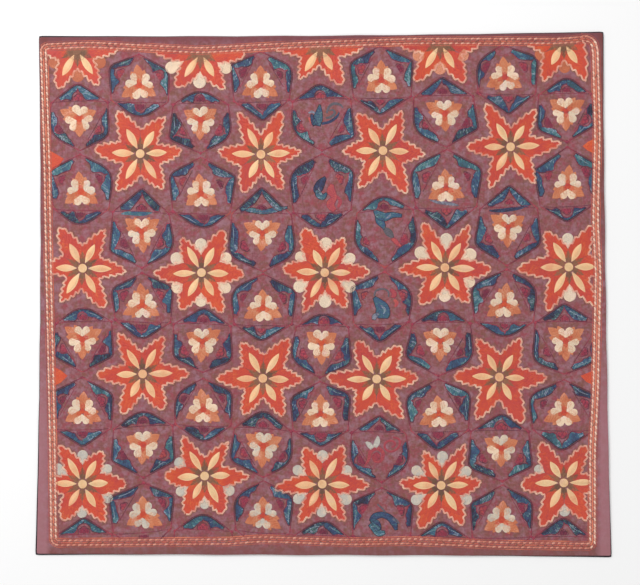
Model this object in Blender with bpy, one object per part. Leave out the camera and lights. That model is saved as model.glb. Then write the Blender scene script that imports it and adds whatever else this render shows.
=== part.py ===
"""Embroidered lattice cloth: a nearly square face panel with its hem turned under, laid over a
slightly larger dark lining.

World frame in metres: +X along the foot of the pattern, +Y from foot to head, +Z up from the
surface that the cloth lies on. The origin is under the middle of the cloth.
"""

import math
from dataclasses import dataclass

import bmesh
import bpy

MM = 0.001
COLLECTION_NAME = "embroidered_lattice_cloth"


@dataclass
class Panel:
    """One cut panel, in millimetres. A corner is (x, y) from the middle of the cloth, and a draw
    is how far the middle of that side is pulled in from the straight line between its corners."""

    name: str
    foot_left: tuple
    foot_right: tuple
    head_left: tuple
    head_right: tuple
    draw_left: float
    draw_right: float
    draw_foot: float
    draw_head: float
    underside: float  # height of the flat underside
    thickness: float
    hem_rise: float  # added height where the turned hem lies under the face
    unevenness: float  # half of the highest rise in the face
    insets: tuple  # lines of the mesh along each side, measured from the edge
    spacing: float  # distance between the lines of the mesh inside those
    colour: tuple
    roughness: float


LINING_THICKNESS = 1.0
PIECE_GAP = 0.3  # clearance between the two panels

FACE = Panel(
    name="ground_cloth",
    foot_left=(-458.4, -414.4),
    foot_right=(459.2, -417.6),
    head_left=(-454.4, 411.2),
    head_right=(446.4, 418.4),
    draw_left=4.0,
    draw_right=1.6,
    draw_foot=-0.4,
    draw_head=1.3,
    underside=LINING_THICKNESS + PIECE_GAP,
    thickness=1.6,
    hem_rise=0.5,
    unevenness=0.35,
    insets=(0.0, 0.4, 1.2, 3.0, 9.0, 13.0),
    spacing=30.0,
    colour=(0.255, 0.107, 0.130),
    roughness=0.82,
)

LINING = Panel(
    name="lining",
    foot_left=(-461.0, -416.8),
    foot_right=(461.0, -420.5),
    head_left=(-455.4, 413.8),
    head_right=(448.0, 420.5),
    draw_left=5.0,
    draw_right=4.0,
    draw_foot=2.6,
    draw_head=3.1,
    underside=0.0,
    thickness=LINING_THICKNESS,
    hem_rise=0.0,
    unevenness=0.0,
    insets=(0.0, 0.25, 0.8, 6.0),
    spacing=60.0,
    colour=(0.020, 0.009, 0.014),
    roughness=0.90,
)

CORNER_RADIUS = 3.0
HEM_FROM, HEM_TO = 9.0, 13.0  # the hem's raised step fades out between these, from the edge
EDGE_RIPPLE = 0.45  # height of the small waves that hand hemming leaves in an edge
EDGE_WAVES = 7  # how many of them there are along a side
SETTLE_STEPS = 4  # passes that bring a crossing of two slightly bent lines to its place


def mix(start, end, share):
    """The value at a share of the way from start to end."""
    return start + (end - start) * share


def side_offset(share, draw, phase):
    """How far a side lies in from its straight line, at a share of its length."""
    bow = 4.0 * draw * share * (1.0 - share)
    ripple = EDGE_RIPPLE * math.sin(2.0 * math.pi * EDGE_WAVES * share + phase)
    return bow + ripple * math.sin(math.pi * share)


def left_x(panel, y):
    share = (y - panel.foot_left[1]) / (panel.head_left[1] - panel.foot_left[1])
    straight = mix(panel.foot_left[0], panel.head_left[0], share)
    return straight + side_offset(share, panel.draw_left, 0.4)


def right_x(panel, y):
    share = (y - panel.foot_right[1]) / (panel.head_right[1] - panel.foot_right[1])
    straight = mix(panel.foot_right[0], panel.head_right[0], share)
    return straight - side_offset(share, panel.draw_right, 2.1)


def foot_y(panel, x):
    share = (x - panel.foot_left[0]) / (panel.foot_right[0] - panel.foot_left[0])
    straight = mix(panel.foot_left[1], panel.foot_right[1], share)
    return straight + side_offset(share, panel.draw_foot, 3.3)


def head_y(panel, x):
    share = (x - panel.head_left[0]) / (panel.head_right[0] - panel.head_left[0])
    straight = mix(panel.head_left[1], panel.head_right[1], share)
    return straight - side_offset(share, panel.draw_head, 5.0)


def mesh_lines(insets, span, spacing):
    """Lines across a panel as (share between its two edges, shift from there, inset)."""
    steps = round((span - 2.0 * insets[-1]) / spacing)
    near = [(0.0, inset, inset) for inset in insets]
    far = [(1.0, -inset, inset) for inset in reversed(insets)]
    middle = []
    for step in range(1, steps):
        share = step / steps
        shift = insets[-1] * (1.0 - 2.0 * share)
        middle.append((share, shift, math.inf))
    return near + middle + far


def crossing(panel, column, row):
    """Where a line along Y and a line along X of a panel cross, in millimetres."""
    x = y = 0.0
    for _ in range(SETTLE_STEPS):
        x = mix(left_x(panel, y), right_x(panel, y), column[0]) + column[1]
        y = mix(foot_y(panel, x), head_y(panel, x), row[0]) + row[1]
    return x, y


def rounded(x, y, column, row):
    """Moves a crossing that lies in the square of a corner onto that corner's round."""
    from_side, from_end = column[2], row[2]
    if max(from_side, from_end) >= CORNER_RADIUS:
        return x, y
    side = CORNER_RADIUS - from_side
    end = CORNER_RADIUS - from_end
    shrink = 1.0 - max(side, end) / math.hypot(side, end)
    outward_x = 1.0 if column[0] else -1.0
    outward_y = 1.0 if row[0] else -1.0
    return x - outward_x * side * shrink, y - outward_y * end * shrink


def hem_share(inset):
    """How much of the hem's rise is left at a distance in from the edge."""
    if inset >= HEM_TO:
        return 0.0
    share = max(0.0, (inset - HEM_FROM) / (HEM_TO - HEM_FROM))
    return 1.0 - share * share * (3.0 - 2.0 * share)


def lie(panel, x, y):
    """The slow rise and fall of stitched cloth that lies flat, in millimetres."""
    long_wave = math.sin(x / 61.0 + 0.9 * math.sin(y / 97.0))
    cross_wave = math.sin(y / 53.0 + 1.1 * math.sin(x / 113.0) + 0.7)
    return panel.unevenness * (0.6 * long_wave + 0.4 * cross_wave)


def skin_heights(panel, x, y, inset):
    """Heights of the underside and of the face where a panel is inset from its edge. The edge
    is a fold, so that both skins meet half way up on a half round."""
    depth = panel.thickness + panel.hem_rise * hem_share(inset)
    middle = panel.underside + depth / 2.0
    half = depth / 2.0
    if inset < half:
        half = math.sqrt(half * half - (half - inset) ** 2)
    face = middle + half
    if inset > panel.insets[-1]:
        face += lie(panel, x, y)
    return middle - half, face


def build_panel(panel, collection):
    """Shapes two grids into the face and the underside of a panel and joins them at its edge."""
    span_x = panel.foot_right[0] - panel.foot_left[0]
    span_y = panel.head_left[1] - panel.foot_left[1]
    columns = mesh_lines(panel.insets, span_x, panel.spacing)
    rows = mesh_lines(panel.insets, span_y, panel.spacing)
    shape = bmesh.new()
    grid = bmesh.ops.create_grid(
        shape,
        x_segments=len(columns) - 1,
        y_segments=len(rows) - 1,
        size=0.5,
    )
    face_verts = grid["verts"]
    underside = bmesh.ops.duplicate(shape, geom=shape.faces[:])
    underside_of = underside["vert_map"]
    for face_vert in face_verts:
        column = columns[round((face_vert.co.x + 0.5) * (len(columns) - 1))]
        row = rows[round((face_vert.co.y + 0.5) * (len(rows) - 1))]
        x, y = crossing(panel, column, row)
        low, high = skin_heights(panel, x, y, min(column[2], row[2]))
        x, y = rounded(x, y, column, row)
        face_vert.co = (x * MM, y * MM, high * MM)
        underside_of[face_vert].co = (x * MM, y * MM, low * MM)
    underside_faces = [item for item in underside["geom"] if isinstance(item, bmesh.types.BMFace)]
    bmesh.ops.reverse_faces(shape, faces=underside_faces)
    bmesh.ops.remove_doubles(shape, verts=shape.verts, dist=0.00001)
    mesh = bpy.data.meshes.new(panel.name)
    shape.to_mesh(mesh)
    shape.free()
    mesh.shade_smooth()
    mesh.materials.append(cloth_material(panel))
    piece = bpy.data.objects.new(panel.name, mesh)
    collection.objects.link(piece)
    return piece


def cloth_material(panel):
    """Matt woven cloth in the panel's own colour."""
    material = bpy.data.materials.new(panel.name)
    material.use_nodes = True
    shader = material.node_tree.nodes["Principled BSDF"]
    shader.inputs["Base Color"].default_value = (*panel.colour, 1.0)
    shader.inputs["Roughness"].default_value = panel.roughness
    shader.inputs["Metallic"].default_value = 0.0
    return material


for leftover in list(bpy.data.objects):
    bpy.data.objects.remove(leftover)

cloth = bpy.data.collections.new(COLLECTION_NAME)
bpy.context.scene.collection.children.link(cloth)
build_panel(LINING, cloth)
build_panel(FACE, cloth)
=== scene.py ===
import math
import random

import bmesh
import bpy
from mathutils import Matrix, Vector, noise


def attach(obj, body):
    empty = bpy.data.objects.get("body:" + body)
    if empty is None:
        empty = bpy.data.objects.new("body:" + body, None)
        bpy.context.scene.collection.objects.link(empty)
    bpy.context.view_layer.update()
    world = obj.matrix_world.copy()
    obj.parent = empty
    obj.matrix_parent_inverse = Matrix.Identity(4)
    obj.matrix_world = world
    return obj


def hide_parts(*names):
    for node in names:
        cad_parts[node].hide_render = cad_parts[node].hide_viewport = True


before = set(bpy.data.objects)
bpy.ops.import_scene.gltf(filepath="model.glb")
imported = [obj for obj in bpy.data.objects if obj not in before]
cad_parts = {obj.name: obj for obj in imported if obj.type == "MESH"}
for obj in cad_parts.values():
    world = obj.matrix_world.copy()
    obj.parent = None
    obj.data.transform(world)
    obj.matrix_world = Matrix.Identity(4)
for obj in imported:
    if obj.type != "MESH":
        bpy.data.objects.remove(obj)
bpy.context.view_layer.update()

# ---------------------------------------------------------------- camera, light and floor
# The cloth is looked at square on, from straight above it. The light is a large soft window from
# the head's left with a weak fill, so that the edges throw a short soft shade to the right and
# below.

MM = 0.001  # sizes are in millimetres, unless a comment says metres
IMAGE_WIDE = 640
MM_A_PIXEL = 1.6
CAMERA_OFF_X, CAMERA_OFF_Y = -5.6, 3.2  # the cloth isn't quite in the middle of the picture
LENS, SENSOR = 85.0, 36.0
WORLD_LIGHT = 0.52
FLOOR_WIDE, FLOOR_UNDER = 12.0, 0.0002  # in metres

scene = bpy.context.scene
scene.view_settings.view_transform = "Standard"


def linear(hex_colour):
    """An sRGB hex colour as linear red, green, blue and alpha."""
    parts = [int(hex_colour[i:i + 2], 16) / 255.0 for i in (1, 3, 5)]
    return tuple(c / 12.92 if c <= 0.04045 else ((c + 0.055) / 1.055) ** 2.4 for c in parts) + (1.0,)


def node(tree, kind, settings=None, **links):
    """Adds a node with its settings, and links or sets its inputs by name, or by _number."""
    made = tree.nodes.new(kind)
    for name, value in (settings or {}).items():
        setattr(made, name, value)
    for name, value in links.items():
        socket = made.inputs[int(name[1:])] if name[1:].isdigit() else made.inputs[name.replace("_", " ")]
        if isinstance(value, bpy.types.NodeSocket):
            tree.links.new(value, socket)
        else:
            socket.default_value = value
    return made


def surface(name, roughness, sheen=0.0):
    """A new material, with its node tree and its shader."""
    made = bpy.data.materials.new(name)
    made.use_nodes = True
    shader = made.node_tree.nodes["Principled BSDF"]
    shader.inputs["Roughness"].default_value = roughness
    shader.inputs["Sheen Weight"].default_value = sheen
    return made, made.node_tree, shader


camera_data = bpy.data.cameras.new("camera")
camera_data.lens = LENS
camera_data.sensor_width = SENSOR
camera = bpy.data.objects.new("camera", camera_data)
scene.collection.objects.link(camera)
camera_height = IMAGE_WIDE * MM_A_PIXEL * MM * LENS / SENSOR
camera.location = (CAMERA_OFF_X * MM, CAMERA_OFF_Y * MM, camera_height)
scene.camera = camera


def window_light(name, place, wide, power):
    """A square soft light that faces the middle of the cloth."""
    data = bpy.data.lights.new(name, "AREA")
    data.size = wide
    data.energy = power
    lamp = bpy.data.objects.new(name, data)
    lamp.location = place
    lamp.rotation_euler = Vector(place).to_track_quat("Z", "Y").to_euler()
    scene.collection.objects.link(lamp)


window_light("window", place=(-1.7, 1.6, 2.1), wide=1.4, power=63.0)
window_light("fill", place=(1.9, -1.3, 2.4), wide=2.0, power=17.0)

world = bpy.data.worlds.new("studio")
world.use_nodes = True
world.node_tree.nodes["Background"].inputs["Color"].default_value = (1.0, 1.0, 1.0, 1.0)
world.node_tree.nodes["Background"].inputs["Strength"].default_value = WORLD_LIGHT
scene.world = world

white_board, _, floor_shader = surface("matt_white_board", 0.9)
floor_shader.inputs["Base Color"].default_value = linear("#fcfcfc")
bpy.ops.mesh.primitive_plane_add(size=FLOOR_WIDE, location=(0.0, 0.0, -FLOOR_UNDER))
floor = bpy.context.active_object
floor.name = "floor"
floor.data.materials.append(white_board)

# ---------------------------------------------------------------- lining
# One panel of near-black plum cotton behind the face, cut a little larger, so that it peeps out as
# a thin dark line along the head, down the lower left side and at the corners.

CORNER_RADIUS = 3.0
EDGE_RIPPLE, EDGE_WAVES = 0.45, 7
SETTLE_STEPS = 4
LINING_THICKNESS = 1.0
LINING_INSETS = (0.0, 0.15, 0.5, 6.0)
LINING_SPACING = 40.0
LINING_CORNERS = {
    "foot left": (-461.0, -416.8),
    "foot right": (461.0, -420.5),
    "head left": (-455.4, 413.8),
    "head right": (448.0, 420.5),
}
LINING_DRAWS = {"left": 5.0, "right": 4.0, "foot": 2.6, "head": 3.1}
SIDES = {
    # first corner, last corner, the axis it runs along, start of its ripple, way in
    "left": ("foot left", "head left", 1, 0.4, 1.0),
    "right": ("foot right", "head right", 1, 2.1, -1.0),
    "foot": ("foot left", "foot right", 0, 3.3, 1.0),
    "head": ("head left", "head right", 0, 5.0, -1.0),
}


def mix(start, end, share):
    return start + (end - start) * share


def ease(share):
    share = min(max(share, 0.0), 1.0)
    return share * share * (3.0 - 2.0 * share)


def side_at(corners, draws, side, along):
    """Where a side of a panel is, at a place along it, in millimetres."""
    first, last, run, phase, inward = SIDES[side]
    share = (along - corners[first][run]) / (corners[last][run] - corners[first][run])
    straight = mix(corners[first][1 - run], corners[last][1 - run], share)
    bow = 4.0 * draws[side] * share * (1.0 - share)
    ripple = EDGE_RIPPLE * math.sin(2.0 * math.pi * EDGE_WAVES * share + phase)
    return straight + inward * (bow + ripple * math.sin(math.pi * share))


def mesh_lines(insets, span, spacing):
    """Lines across a panel as (share between its two edges, shift from there, inset)."""
    steps = round((span - 2.0 * insets[-1]) / spacing)
    near = [(0.0, inset, inset) for inset in insets]
    far = [(1.0, -inset, inset) for inset in reversed(insets)]
    middle = [(k / steps, insets[-1] * (1.0 - 2.0 * k / steps), math.inf) for k in range(1, steps)]
    return near + middle + far


def crossing(corners, draws, column, row):
    """Where a line along Y and a line along X of a panel cross, in millimetres."""
    x = y = 0.0
    for _ in range(SETTLE_STEPS):
        left, right = side_at(corners, draws, "left", y), side_at(corners, draws, "right", y)
        x = mix(left, right, column[0]) + column[1]
        foot, head = side_at(corners, draws, "foot", x), side_at(corners, draws, "head", x)
        y = mix(foot, head, row[0]) + row[1]
    return x, y


def rounded(x, y, column, row):
    """Moves a crossing that lies in the square of a corner onto that corner's round."""
    if max(column[2], row[2]) >= CORNER_RADIUS:
        return x, y
    side, end = CORNER_RADIUS - column[2], CORNER_RADIUS - row[2]
    shrink = 1.0 - max(side, end) / math.hypot(side, end)
    return x - math.copysign(side * shrink, column[0] - 0.5), y - math.copysign(end * shrink, row[0] - 0.5)


def skins(underside, depth, inset):
    """Heights of the two skins of a sheet, which meet in a half-round fold at its edge."""
    middle, half = underside + depth / 2.0, depth / 2.0
    if inset < half:
        half = math.sqrt(half * half - (half - inset) ** 2)
    return middle - half, middle + half


def panel(name, corners, draws, insets, spacing, heights):
    """A closed sheet between two skins that meet in the fold at its edge."""
    span_x = corners["foot right"][0] - corners["foot left"][0]
    span_y = corners["head left"][1] - corners["foot left"][1]
    columns, rows = mesh_lines(insets, span_x, spacing), mesh_lines(insets, span_y, spacing)
    shape = bmesh.new()
    grid = bmesh.ops.create_grid(
        shape, x_segments=len(columns) - 1, y_segments=len(rows) - 1, size=0.5
    )
    face_verts = grid["verts"]
    under = bmesh.ops.duplicate(shape, geom=shape.faces[:])
    under_of = under["vert_map"]
    for vert in face_verts:
        column = columns[round((vert.co.x + 0.5) * (len(columns) - 1))]
        row = rows[round((vert.co.y + 0.5) * (len(rows) - 1))]
        x, y = crossing(corners, draws, column, row)
        low, high = heights(x, y, min(column[2], row[2]))
        x, y = rounded(x, y, column, row)
        vert.co = (x * MM, y * MM, high * MM)
        under_of[vert].co = (x * MM, y * MM, low * MM)
    under_faces = [item for item in under["geom"] if isinstance(item, bmesh.types.BMFace)]
    bmesh.ops.reverse_faces(shape, faces=under_faces)
    bmesh.ops.remove_doubles(shape, verts=shape.verts, dist=0.00001)
    mesh = bpy.data.meshes.new(name)
    shape.to_mesh(mesh)
    shape.free()
    mesh.shade_smooth()
    piece = bpy.data.objects.new(name, mesh)
    scene.collection.objects.link(piece)
    return piece


lining = panel(
    "dark_lining", LINING_CORNERS, LINING_DRAWS, LINING_INSETS, LINING_SPACING,
    lambda x, y, inset: skins(0.0, LINING_THICKNESS, inset),
)


def clouds(tree, place, size, detail=2.0):
    """A noise with blotches of about a size in millimetres."""
    scale = 1.0 / (size * MM)
    return node(tree, "ShaderNodeTexNoise", Vector=place, Scale=scale, Detail=detail).outputs["Fac"]


def blend(tree, share, under, over):
    """A share of one colour laid over another."""
    return node(tree, "ShaderNodeMix", {"data_type": "RGBA"}, Factor=share, _6=under, _7=over).outputs[2]


def coat(tree, shader, colour, relief, strength, depth):
    """Gives a shader its colour and a bump with a depth in millimetres."""
    bump = node(tree, "ShaderNodeBump", Height=relief, Strength=strength, Distance=depth * MM)
    tree.links.new(colour, shader.inputs["Base Color"])
    tree.links.new(bump.outputs[0], shader.inputs["Normal"])


# Fine dull cotton: almost black, with a faint 2 mm speckle where the thread ends catch the light.
cotton, tree, shader = surface("dark_lining_cotton", 0.9)
place = node(tree, "ShaderNodeTexCoord").outputs["Object"]
speckle = clouds(tree, place, 2.0, detail=1.0)
colour = blend(tree, speckle, linear("#150c12"), linear("#372330"))
coat(tree, shader, colour, speckle, strength=0.3, depth=0.3)
lining.data.materials.append(cotton)

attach(lining, "root")
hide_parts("lining")

# ---------------------------------------------------------------- ground cloth
# One panel of plum-mauve plain weave, hand woven, so its colour runs in faint streaks. Its edges
# are turned under once as a narrow hem, which lies a little higher than the rest.

FACE_UNDERSIDE = 1.3
FACE_THICKNESS = 1.6
HEM_RISE, HEM_FROM, HEM_TO = 0.5, 9.0, 13.0
FACE_CORNERS = {
    "foot left": (-458.4, -414.4),
    "foot right": (459.2, -417.6),
    "head left": (-454.4, 411.2),
    "head right": (446.4, 418.4),
}
FACE_DRAWS = {"left": 4.0, "right": 1.6, "foot": -0.4, "head": 1.3}
FACE_INSETS = (0.0, 0.25, 0.6, 1.1, 3.0, 6.0, 9.0, 11.0, 13.0)
FACE_SPACING = 10.0
UNEVENNESS, LIE_FADE = 0.35, 8.0  # half of the rise and fall of the face, which starts past the hem


def lie(x, y):
    """The slow rise and fall of stitched cloth that lies flat, in millimetres."""
    long_wave = math.sin(x / 61.0 + 0.9 * math.sin(y / 97.0))
    cross_wave = math.sin(y / 53.0 + 1.1 * math.sin(x / 113.0) + 0.7)
    return UNEVENNESS * (0.6 * long_wave + 0.4 * cross_wave)


def face_skins(x, y, inset):
    hem = 1.0 - ease((inset - HEM_FROM) / (HEM_TO - HEM_FROM))
    low, high = skins(FACE_UNDERSIDE, FACE_THICKNESS + HEM_RISE * hem, inset)
    return low, high + lie(x, y) * ease((inset - HEM_FROM) / LIE_FADE)


def edge_distance(x, y):
    """How far a point on the cloth is inside its nearest edge."""
    left, right = (side_at(FACE_CORNERS, FACE_DRAWS, side, y) for side in ("left", "right"))
    foot, head = (side_at(FACE_CORNERS, FACE_DRAWS, side, x) for side in ("foot", "head"))
    return min(x - left, right - x, y - foot, head - y)


def face_height(x, y):
    """Height of the cloth's face, in millimetres above the floor."""
    return face_skins(x, y, max(edge_distance(x, y), 0.0))[1]


ground_cloth = panel("ground_weave", FACE_CORNERS, FACE_DRAWS, FACE_INSETS, FACE_SPACING, face_skins)

# Plain weave of dull spun thread: matt, with the warp and the weft in slightly different plums.
# The thread, 0.5 mm, is too fine for the picture, so the streaks that it leaves are drawn 2 mm
# wide and up to 60 mm long, under worn specks of 3 mm and stains of 10 to 30 mm.
ACROSS, ALONG = 480.0, 17.0  # streaks in a metre
WEAVE_SCALE = 320.0
STAINS = [
    # size in millimetres, the noise where it starts and where it is full, strength, colour
    (31.0, 0.42, 0.68, 0.6, "#8a5248"),
    (15.0, 0.44, 0.64, 0.8, "#98424e"),
    (10.0, 0.46, 0.66, 0.75, "#9c727e"),
    (6.5, 0.46, 0.68, 0.75, "#7c4e3e"),
    (4.5, 0.50, 0.74, 0.5, "#a6767f"),
    (3.2, 0.50, 0.70, 0.5, "#6c4042"),
]
# Outside the border the cloth is darker, except that it has faded to a pale rose along the lower
# part of both sides.
SIDE_FROM, SIDE_TO = 0.436, 0.444
FADES = [
    # Y where it starts and where it is full, in metres, only outside the side borders, strength, colour
    (0.398, 0.408, False, 0.8, "#763f46"),
    (-0.398, -0.406, False, 0.6, "#7c4a46"),
    (0.0, 0.2, True, 0.7, "#763f3c"),
    (-0.02, -0.2, True, 0.75, "#a8727a"),
]


def sum_of(tree, operation, first, second=0.5):
    return node(tree, "ShaderNodeMath", {"operation": operation}, _0=first, _1=second).outputs[0]


def ranged(tree, value, low, high, most=1.0):
    """How far a value has come from low to high, times the most."""
    return node(
        tree, "ShaderNodeMapRange", Value=value, From_Min=low, From_Max=high, To_Max=most
    ).outputs[0]


weave, tree, shader = surface("plum_plain_weave", 0.85, sheen=0.1)
place = node(tree, "ShaderNodeTexCoord").outputs["Object"]
streaks, threads = [], []
for scale in ((ACROSS, ALONG, 1.0), (ALONG, ACROSS, 1.0)):
    stretched = node(tree, "ShaderNodeMapping", Vector=place, Scale=scale).outputs[0]
    streaks.append(clouds(tree, stretched, 1.0 / MM))
for way in "XY":
    threads.append(node(
        tree, "ShaderNodeTexWave", {"wave_type": "BANDS", "bands_direction": way},
        Vector=place, Scale=WEAVE_SCALE, Distortion=0.4,
    ).outputs["Fac"])
spread = ranged(tree, sum_of(tree, "ADD", *streaks), 0.7, 1.3)
colour = blend(tree, spread, linear("#82474f"), linear("#965a63"))
for size, low, high, most, hex_colour in STAINS:
    share = ranged(tree, clouds(tree, place, size), low, high, most)
    colour = blend(tree, share, colour, linear(hex_colour))
spot = node(tree, "ShaderNodeSeparateXYZ", Vector=place)
at_side = ranged(tree, sum_of(tree, "ABSOLUTE", spot.outputs["X"]), SIDE_FROM, SIDE_TO)
for start, end, only_sides, most, hex_colour in FADES:
    share = ranged(tree, spot.outputs["Y"], start, end, most)
    if only_sides:
        share = sum_of(tree, "MULTIPLY", share, at_side)
    colour = blend(tree, share, colour, linear(hex_colour))
coat(tree, shader, colour, sum_of(tree, "MULTIPLY", *threads), strength=0.35, depth=0.4)
ground_cloth.data.materials.append(weave)

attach(ground_cloth, "root")
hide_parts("ground_cloth")

# ---------------------------------------------------------------- red star petals
# Six-petalled stars in vermilion silk, laid in short threads along each petal and tied down in
# brick order. Each was drawn by hand, so no two have the same petals. The rows lie half a star
# apart, and the outer stars run under the border, which cuts them off.

PETALS = 6
TIP_REACH = 70.5  # from the star's middle to a petal's tip
NOTCH_REACH = 33.5  # to the notch between two petals
TEETH = 4  # along one side of a petal
TOOTH = 4.3  # how far a tooth stands out
TOOTH_RISE = 0.8  # share of its length over which a tooth widens
TOOTH_MIDDLE, TOOTH_LEAN = 0.6, 0.4  # the share of it that stands inside the side, and its lean
TEETH_GROW, TEETH_SHRINK = 8.0, 6.0  # over an eighth of the side at the notch, a sixth at the tip
BELLY = 0.3  # a petal swells by this share towards its tip, before it tapers
SIDE_STEPS = 8 * TEETH
RED_FROM, RED_ARC = 15.0, (-27, -14, 0, 14, 27)  # the red starts outside the disc, at these angles
SPINDLE_FROM, SPINDLE_REACH, SPINDLE_HALF = 9.0, 45.0, 5.7  # the gold core of a petal
SPINDLE_WIDEST, SPINDLE_FULLNESS = 0.5 ** (1.0 / 1.1), 0.84
STAR_MARGIN = 5.0  # stars are cut off this far inside the border's middle line
RED_THREAD, RED_SLANT, RED_LIFT = 7.5, 12.0, 0.16
BLOCK_NOTCH = {(0, 4): (5, 6.0)}  # this star's last petal is as broad as two: petal, its notch's angle

# A star's row and column, its middle in millimetres from the middle of the cloth, and its size as
# a share of the usual. Those outside the field are only there for the frames between the stars.
STARS = [
    # row, column, x, y, size
    (0, 0, -394, 391, 0.96),
    (0, 1, -196, 387, 1.05),
    (0, 2, -5, 396, 0.98),
    (0, 3, 187, 402, 0.97),
    (0, 4, 383, 404, 1.0),
    (1, -1, -485, 226, 1.0),
    (1, 0, -293, 225, 0.99),
    (1, 1, -100, 224, 1.0),
    (1, 2, 95, 230, 1.0),
    (1, 3, 299, 236, 1.05),
    (1, 4, 480, 240, 1.0),
    (2, 0, -385, 42, 0.98),
    (2, 1, -195, 35, 1.01),
    (2, 2, 2, 35, 1.0),
    (2, 3, 194, 43, 1.07),
    (2, 4, 392, 44, 1.07),
    (3, -1, -482, -130, 1.0),
    (3, 0, -289, -127, 1.03),
    (3, 1, -97, -134, 0.98),
    (3, 2, 85, -135, 1.03),
    (3, 3, 281, -132, 1.07),
    (3, 4, 488, -134, 1.0),
    (4, 0, -385, -303, 0.95),
    (4, 1, -190, -290, 0.95),
    (4, 2, -2, -303, 0.99),
    (4, 3, 188, -305, 0.98),
    (4, 4, 384, -301, 1.02),
    (5, -1, -485, -466, 1.0),
    (5, 0, -289, -463, 1.0),
    (5, 1, -98, -466, 1.0),
    (5, 2, 94, -470, 1.0),
    (5, 3, 282, -474, 1.0),
    (5, 4, 478, -474, 1.0),
]

# The middle line of the border, side by side: (place along the side, place across it)
BORDER = {
    "left": [(-405, -431), (-250, -433), (-105, -436), (30, -439), (214, -442), (404, -448)],
    "right": [(-405, 430), (-250, 430), (-154, 435), (30, 439), (118, 435), (262, 438), (412, 434)],
    "foot": [(-434, -397), (-149, -395), (-101, -391), (43, -396), (139, -394), (283, -400), (433, -402)],
    "head": [(-452, 396), (-373, 399), (-197, 390), (-53, 398), (139, 405), (379, 405), (436, 410)],
}


def between(table, along):
    """Reads a side's table at a place along it, by straight lines between its rows."""
    if along <= table[0][0]:
        return table[0][1]
    for (start, low), (end, high) in zip(table, table[1:]):
        if along <= end:
            return mix(low, high, (along - start) / (end - start))
    return table[-1][1]


def room(x, y):
    """How far a point is inside each side of the border's middle line."""
    return (
        x - between(BORDER["left"], y),
        between(BORDER["right"], y) - x,
        y - between(BORDER["foot"], x),
        between(BORDER["head"], x) - y,
    )


def inside(x, y, margin):
    return min(room(x, y)) > margin


def edges(outline):
    """The edges of a closed outline, each as its two ends."""
    return zip(outline, outline[1:] + outline[:1])


def trimmed(outline, margin):
    """A closed outline cut off at a margin inside the border's middle line."""
    for side in range(4):
        kept = []
        for (ax, ay), (bx, by) in edges(outline):
            a, b = room(ax, ay)[side] - margin, room(bx, by)[side] - margin
            if a >= 0:
                kept.append((ax, ay))
            if (a >= 0) != (b >= 0):
                share = a / (a - b)
                kept.append((mix(ax, bx, share), mix(ay, by, share)))
        outline = kept
    return outline


def polar(reach, degrees):
    return reach * math.cos(math.radians(degrees)), reach * math.sin(math.radians(degrees))


def placed(points, x, y, turn):
    """Points of a motif turned by an angle in degrees and moved to its place."""
    cos, sin = math.cos(math.radians(turn)), math.sin(math.radians(turn))
    return [(x + px * cos - py * sin, y + px * sin + py * cos) for px, py in points]


def leaf_outline(start, reach, half, widest=0.5, steps=9, fullness=0.9):
    """A pointed leaf along +X, from start to reach."""
    edge = []
    power = math.log(0.5) / math.log(widest)
    for step in range(steps + 1):
        share = step / steps
        width = half * math.sin(math.pi * share ** power) ** fullness if 0 < step < steps else 0.0
        edge.append((mix(start, reach, share), width))
    return edge + [(x, -y) for x, y in edge[-2:0:-1]]


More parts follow.
